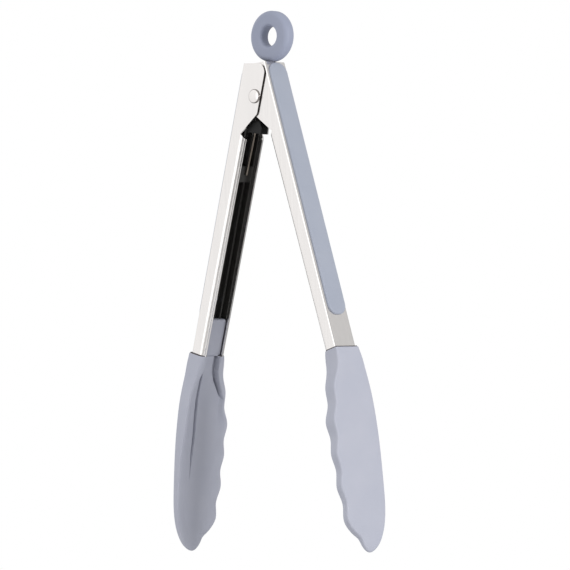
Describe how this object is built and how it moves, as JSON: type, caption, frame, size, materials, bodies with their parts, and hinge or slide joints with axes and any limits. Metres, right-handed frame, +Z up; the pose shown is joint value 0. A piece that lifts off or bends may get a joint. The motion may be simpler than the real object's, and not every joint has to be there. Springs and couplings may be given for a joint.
{
  "type": "spring loaded kitchen tongs",
  "caption": "Spring loaded kitchen tongs: two folded steel arms with silicone grips and scalloped silicone tips, hinged at the top, with a pull ring lock.",
  "frame": {"origin": "centre of the hanging hole in the pull ring, at the ring's mid thickness", "axes": "+Z up, along the line that halves the angle between the open arms, +Y along the hinge pin and the hanging hole, to the back; +X to the right, towards the arm with the inner ears"},
  "size_m": [0.134, 0.0372, 0.2995],
  "materials": {
    "arm_steel": "brushed stainless steel",
    "rivet_steel": "polished stainless steel",
    "strip_steel": "satin",
    "spring_steel": "bright wire",
    "pad_silicone": "satin, pale lavender grey",
    "tip_silicone": "matte, pale lavender grey",
    "ring_silicone": "satin, lavender grey",
    "core_nylon": "matte, hidden",
    "liner_nylon": "matte black",
    "bush_nylon": "matte black"
  },
  "bodies": {
    "left_arm": {"left_arm_channel": "arm_steel", "left_grip_pad": "pad_silicone", "left_pad_plate": "core_nylon", "left_handle_liner": "liner_nylon", "left_tip_silicone": "tip_silicone", "left_tip_core": "core_nylon", "left_tip_pin": "strip_steel", "pivot_rivet": "rivet_steel", "front_spacer_bush": "bush_nylon", "spring_bush": "bush_nylon", "torsion_spring": "spring_steel"},
    "right_arm": {"right_arm_channel": "arm_steel", "right_grip_pad": "pad_silicone", "right_pad_plate": "core_nylon", "right_handle_liner": "liner_nylon", "right_tip_silicone": "tip_silicone", "right_tip_core": "core_nylon", "right_tip_pin": "strip_steel"},
    "lock": {"lock_strip": "strip_steel", "lock_wedge": "bush_nylon", "ring_core": "core_nylon", "ring_pin": "strip_steel", "pull_ring": "ring_silicone"}
  },
  "joints": [
    {"name": "arm_pivot", "type": "hinge", "parent": "left_arm", "child": "right_arm", "pos_m": [-0.0063, 0, -0.03321], "axis": [0, 1, 0], "range_deg": [0, 28.9], "stiffness_Nm_per_rad": 0.8, "springref_deg": -17.19, "deforming": ["torsion_spring"]},
    {"name": "lock_slide", "type": "slide", "parent": "left_arm", "child": "lock", "axis": [0.1865, 0, 0.9825], "range_m": [0, 0.008]}
  ]
}
